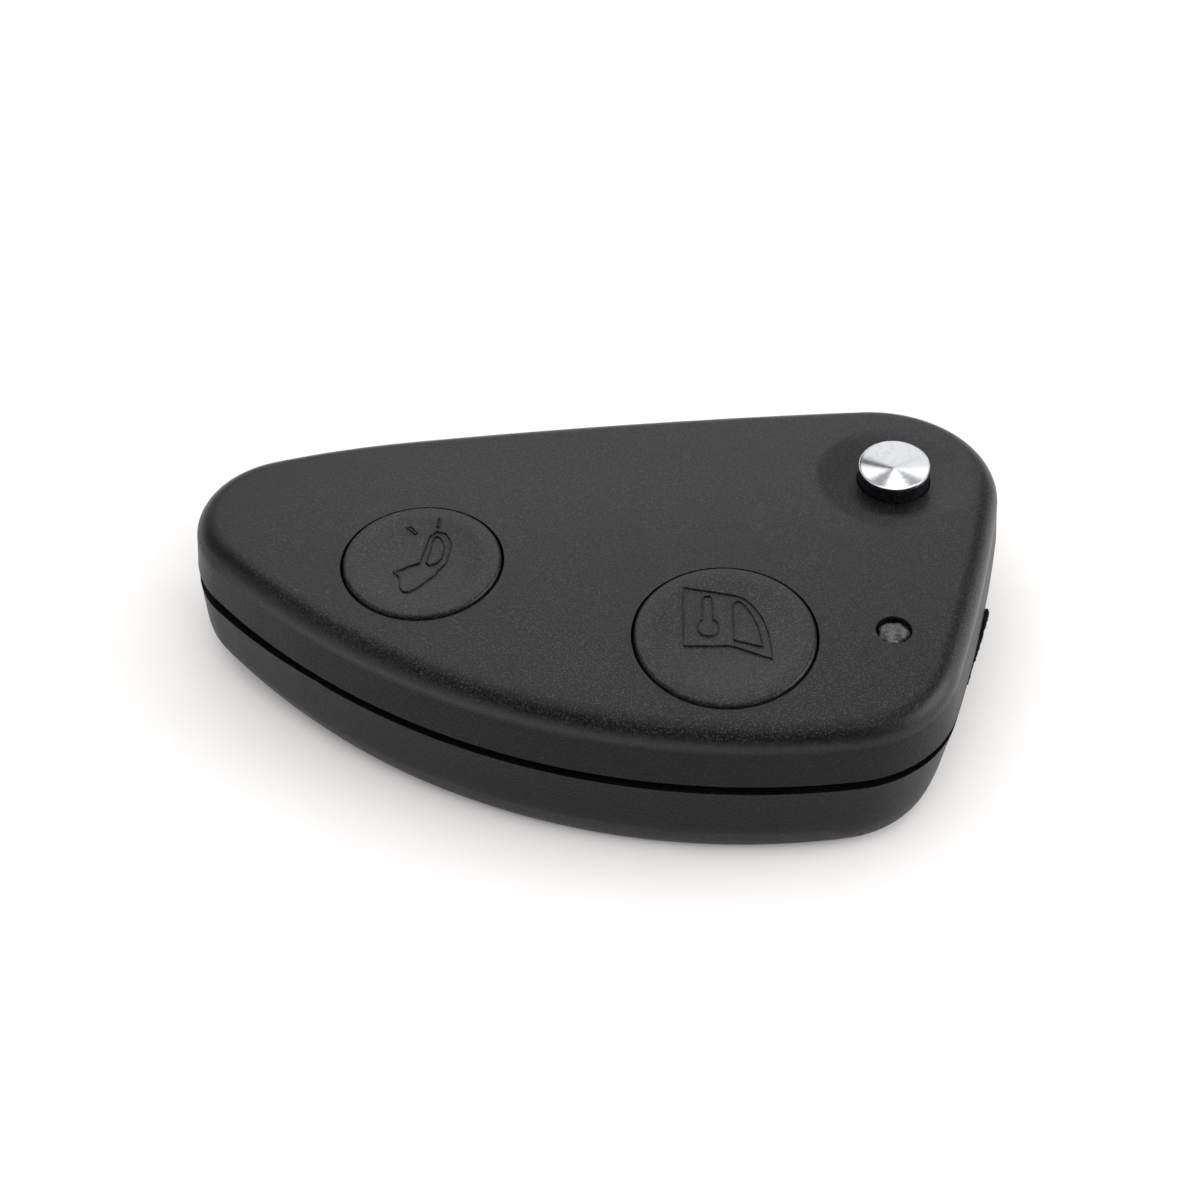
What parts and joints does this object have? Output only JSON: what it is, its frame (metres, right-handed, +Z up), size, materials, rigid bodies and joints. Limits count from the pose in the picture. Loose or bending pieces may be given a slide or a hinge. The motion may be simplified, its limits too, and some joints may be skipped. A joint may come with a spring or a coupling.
{
  "type": "car key fob",
  "caption": "Teardrop car key fob: split plastic case with round buttons, a status light, a chrome release button and a key blade that flips out of its side.",
  "frame": {"origin": "on the table, under the middle of the fob's box seen from above", "axes": "+Z up out of the button face, +X towards the wide end with the release button, +Y towards the straight side that the key blade folds into"},
  "size_m": [0.074, 0.0426, 0.0185],
  "materials": {
    "shell_plastic": "fine grained",
    "lower_shell_plastic": "fine grained",
    "button_plastic": "fine grained",
    "switch_body": "moulded",
    "switch_plunger": "matte",
    "chrome_cap": "polished",
    "hub_metal": "die cast",
    "blade_steel": "nickel plated",
    "spring_steel": "plain",
    "contact_metal": "plated",
    "board_laminate": "solder mask",
    "chip_resin": "moulded",
    "crystal_can": "drawn",
    "ceramic": "fired",
    "tinned_wire": "tinned",
    "clear_resin": "clear",
    "cell_steel": "nickel plated",
    "capsule_glass": "clear"
  },
  "bodies": {
    "case": {"upper_shell": "shell_plastic", "lower_shell": "lower_shell_plastic", "lock_switch": "switch_body", "trunk_switch": "switch_body", "flip_spring": "spring_steel", "hub_washer": "contact_metal", "circuit_board": "board_laminate", "microcontroller": "chip_resin", "radio_chip": "chip_resin", "crystal": "crystal_can", "passives": "ceramic", "loop_antenna": "tinned_wire", "led": "clear_resin", "led_leads": "tinned_wire", "coin_cell": "cell_steel", "cell_contact_positive": "contact_metal", "cell_contact_negative": "contact_metal", "transponder_capsule": "capsule_glass", "case_screw": "spring_steel"},
    "blade": {"blade_hub": "hub_metal", "key_blade": "blade_steel", "blade_pin": "spring_steel"},
    "release": {"release_button": "chrome_cap"},
    "lock_key": {"lock_button": "button_plastic", "lock_plunger": "switch_plunger"},
    "trunk_key": {"trunk_button": "button_plastic", "trunk_plunger": "switch_plunger"}
  },
  "joints": [
    {"name": "blade_flip", "type": "hinge", "parent": "case", "child": "blade", "pos_m": [0.02717, 0.00996, 0.0085], "axis": [0, 0, -1], "range_deg": [0, 180]},
    {"name": "release_press", "type": "slide", "parent": "blade", "child": "release", "axis": [0, 0, -1], "range_m": [0, 0.0012], "stiffness_N_per_m": 1500, "deforming": ["flip_spring"]},
    {"name": "lock_press", "type": "slide", "parent": "case", "child": "lock_key", "axis": [0, 0, -1], "range_m": [0, 0.0004], "stiffness_N_per_m": 2000},
    {"name": "trunk_press", "type": "slide", "parent": "case", "child": "trunk_key", "axis": [0, 0, -1], "range_m": [0, 0.0004], "stiffness_N_per_m": 2000}
  ]
}
